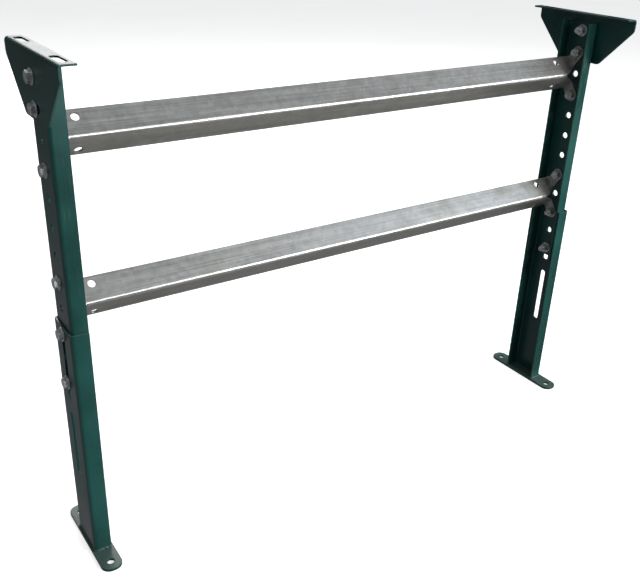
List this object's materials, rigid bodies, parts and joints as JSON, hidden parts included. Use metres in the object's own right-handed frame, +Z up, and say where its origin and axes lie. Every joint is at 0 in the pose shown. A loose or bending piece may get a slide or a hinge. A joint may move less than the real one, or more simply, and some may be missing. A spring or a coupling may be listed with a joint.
{
  "type": "conveyor support stand",
  "caption": "Floor stand for a conveyor: telescoping channel legs on foot plates, V-section cross members between them, and swivelling slotted brackets on top.",
  "frame": {"origin": "on the floor, midway between the two legs and midway along the brackets", "axes": "+X from the left leg to the right leg, across the conveyor; +Y along the conveyor, from the side the cross members' bends point to, to the other side; +Z up"},
  "size_m": [0.9916, 0.207, 0.739],
  "materials": {
    "green_paint": "gloss",
    "galvanised_sheet": "satin",
    "zinc_plate": "bright"
  },
  "bodies": {
    "frame": {"left_upper_leg": "green_paint", "left_pivot_bolt": "zinc_plate", "left_pivot_nut": "zinc_plate", "left_pivot_washers": "zinc_plate", "left_tilt_lock_bolt": "zinc_plate", "left_tilt_lock_nut": "zinc_plate", "left_tilt_lock_washer": "zinc_plate", "left_brace_bolts": "zinc_plate", "left_brace_nuts": "zinc_plate", "left_brace_washers": "zinc_plate", "left_leg_clamp_bolts": "zinc_plate", "left_leg_clamp_nuts": "zinc_plate", "left_leg_clamp_washers": "zinc_plate", "right_upper_leg": "green_paint", "right_pivot_bolt": "zinc_plate", "right_pivot_nut": "zinc_plate", "right_pivot_washers": "zinc_plate", "right_tilt_lock_bolt": "zinc_plate", "right_tilt_lock_nut": "zinc_plate", "right_tilt_lock_washer": "zinc_plate", "right_brace_bolts": "zinc_plate", "right_brace_nuts": "zinc_plate", "right_brace_washers": "zinc_plate", "right_leg_clamp_bolts": "zinc_plate", "right_leg_clamp_nuts": "zinc_plate", "right_leg_clamp_washers": "zinc_plate", "upper_cross_member": "galvanised_sheet", "lower_cross_member": "galvanised_sheet"},
    "left_leg": {"left_lower_leg": "green_paint", "left_foot_plate": "green_paint", "left_foot_weld": "green_paint"},
    "right_leg": {"right_lower_leg": "green_paint", "right_foot_plate": "green_paint", "right_foot_weld": "green_paint"},
    "left_bracket": {"left_swivel_bracket": "green_paint"},
    "right_bracket": {"right_swivel_bracket": "green_paint"}
  },
  "joints": [
    {"name": "left_leg_height", "type": "slide", "parent": "frame", "child": "left_leg", "axis": [0, 0, 1], "range_m": [-0.0015, 0.021]},
    {"name": "right_leg_height", "type": "slide", "parent": "frame", "child": "right_leg", "axis": [0, 0, 1], "range_m": [-0.0015, 0.021]},
    {"name": "left_bracket_tilt", "type": "hinge", "parent": "frame", "child": "left_bracket", "pos_m": [-0.48665, 0, 0.708], "axis": [1, 0, 0], "range_deg": [-18, 18]},
    {"name": "right_bracket_tilt", "type": "hinge", "parent": "frame", "child": "right_bracket", "pos_m": [0.48665, 0, 0.708], "axis": [1, 0, 0], "range_deg": [-18, 18]}
  ]
}
